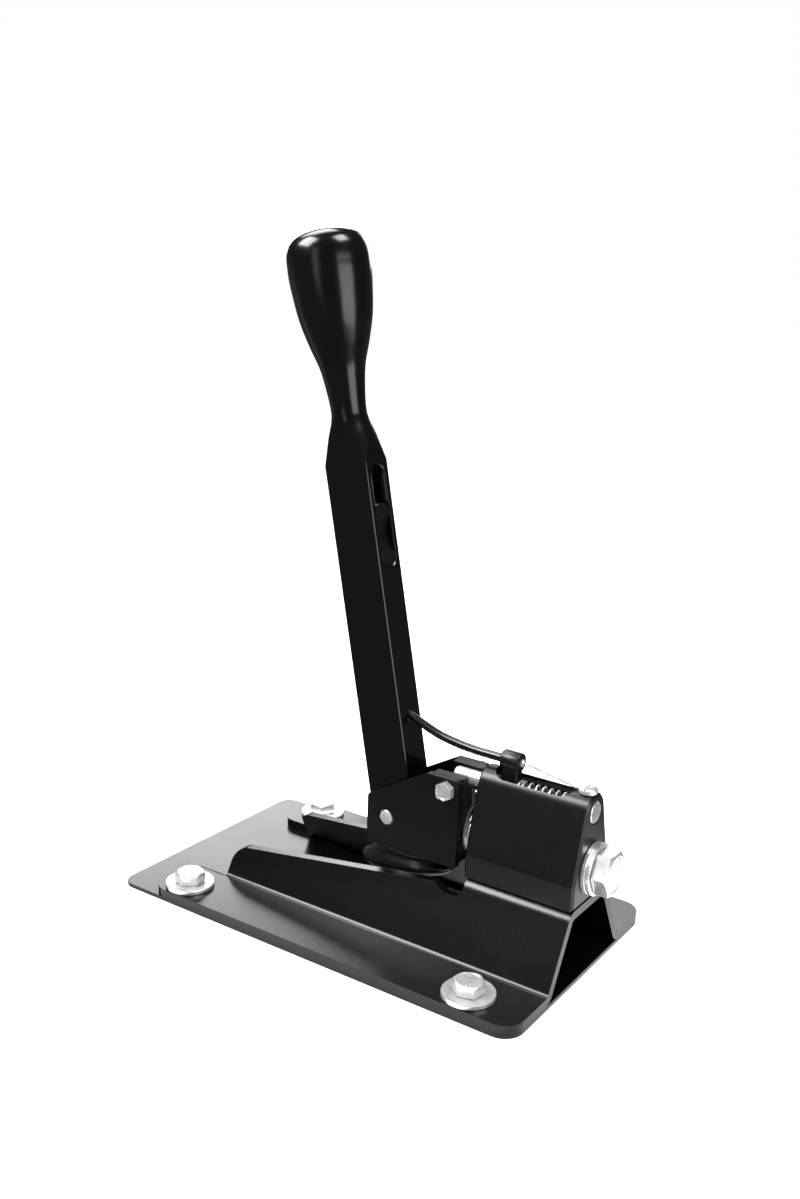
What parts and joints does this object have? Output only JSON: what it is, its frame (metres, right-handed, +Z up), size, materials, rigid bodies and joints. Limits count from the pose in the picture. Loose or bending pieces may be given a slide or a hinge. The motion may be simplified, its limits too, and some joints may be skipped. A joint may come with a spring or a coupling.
{
  "type": "floor gear shifter",
  "caption": "Floor-mounted motorsport gear shifter: tall lever with a bulb knob and finger trigger, rocking carrier and spring-loaded reverse lockout on a bent sheet bracket",
  "frame": {"origin": "on the base plate's underside, at the middle of the whole part's length and width", "axes": "+X from the lever towards the gate block's free end and the main bolt's head, +Y across the part, +Z up along the lever"},
  "size_m": [0.2378, 0.132, 0.3235],
  "materials": {
    "coated": "satin black powder coat, low gloss, even",
    "anodised": "black anodised with a fine grain",
    "gloss": "black anodised over a fine turned finish, glossy",
    "zinc": "bright zinc plate with faint wrench and turning marks",
    "steel": "plain ground steel",
    "bronze": "sintered bronze, matte",
    "rubber": "black rubber, soft sheen",
    "plastic": "black smooth sheath"
  },
  "bodies": {
    "base": {"base_plate": "coated", "hat_bracket": "coated", "flange_washer_1": "zinc", "flange_washer_2": "zinc", "flange_washer_3": "zinc", "flange_washer_4": "zinc", "flange_bolt_1": "zinc", "flange_bolt_2": "zinc", "flange_bolt_3": "zinc", "flange_bolt_4": "zinc", "gate_block": "anodised", "block_screw_1": "steel", "block_screw_2": "steel", "block_screw_3": "steel", "block_screw_4": "steel", "main_bush_rear": "bronze", "main_bush_front": "bronze", "block_spring_pin": "steel", "lock_bush": "zinc", "return_spring": "zinc", "spring_plug": "zinc", "anchor_screw": "zinc", "inner_wire": "zinc", "cable_housing": "plastic"},
    "carrier": {"carrier_yoke": "anodised", "side_plate_near": "coated", "side_plate_far": "coated", "plate_screw_near": "zinc", "plate_screw_far": "zinc", "plate_dowel_near": "steel", "plate_dowel_far": "steel", "pivot_pin": "zinc", "carrier_spring_pin": "steel", "main_bolt": "zinc", "main_washer_1": "zinc", "main_washer_2": "zinc", "hub_washer": "zinc", "hub_spacer": "steel", "jam_nut": "zinc", "centring_spring": "steel", "bellows": "rubber"},
    "shift_lever": {"lever": "gloss", "pivot_bush_near": "bronze", "pivot_bush_far": "bronze", "selector_bush": "bronze", "trigger_rod": "steel"},
    "finger_trigger": {"trigger": "anodised"},
    "lock_plunger": {"lock_pin": "zinc", "cable_post": "anodised", "wire_ferrule": "zinc"}
  },
  "joints": [
    {"name": "gate_swing", "type": "hinge", "parent": "base", "child": "carrier", "pos_m": [0.0457, 0, 0.0536], "axis": [1, 0, 0], "range_deg": [-5, 5], "stiffness_Nm_per_rad": 8, "deforming": ["centring_spring", "cable_housing"]},
    {"name": "shift_throw", "type": "hinge", "parent": "carrier", "child": "shift_lever", "pos_m": [0.0061, 0, 0.0536], "axis": [0, 1, 0], "range_deg": [-9, 9], "deforming": ["bellows", "cable_housing"]},
    {"name": "trigger_lift", "type": "slide", "parent": "shift_lever", "child": "finger_trigger", "axis": [-0.1994, 0, 0.9799], "range_m": [0, 0.011]},
    {"name": "plunger_slide", "type": "slide", "parent": "base", "child": "lock_plunger", "axis": [1, 0, 0], "range_m": [0, 0.011], "stiffness_N_per_m": 400, "springref_m": -0.01, "deforming": ["return_spring", "inner_wire", "cable_housing"]}
  ],
  "couplings": [
    {"joint": "plunger_slide", "follows": "trigger_lift", "ratio": 1}
  ]
}
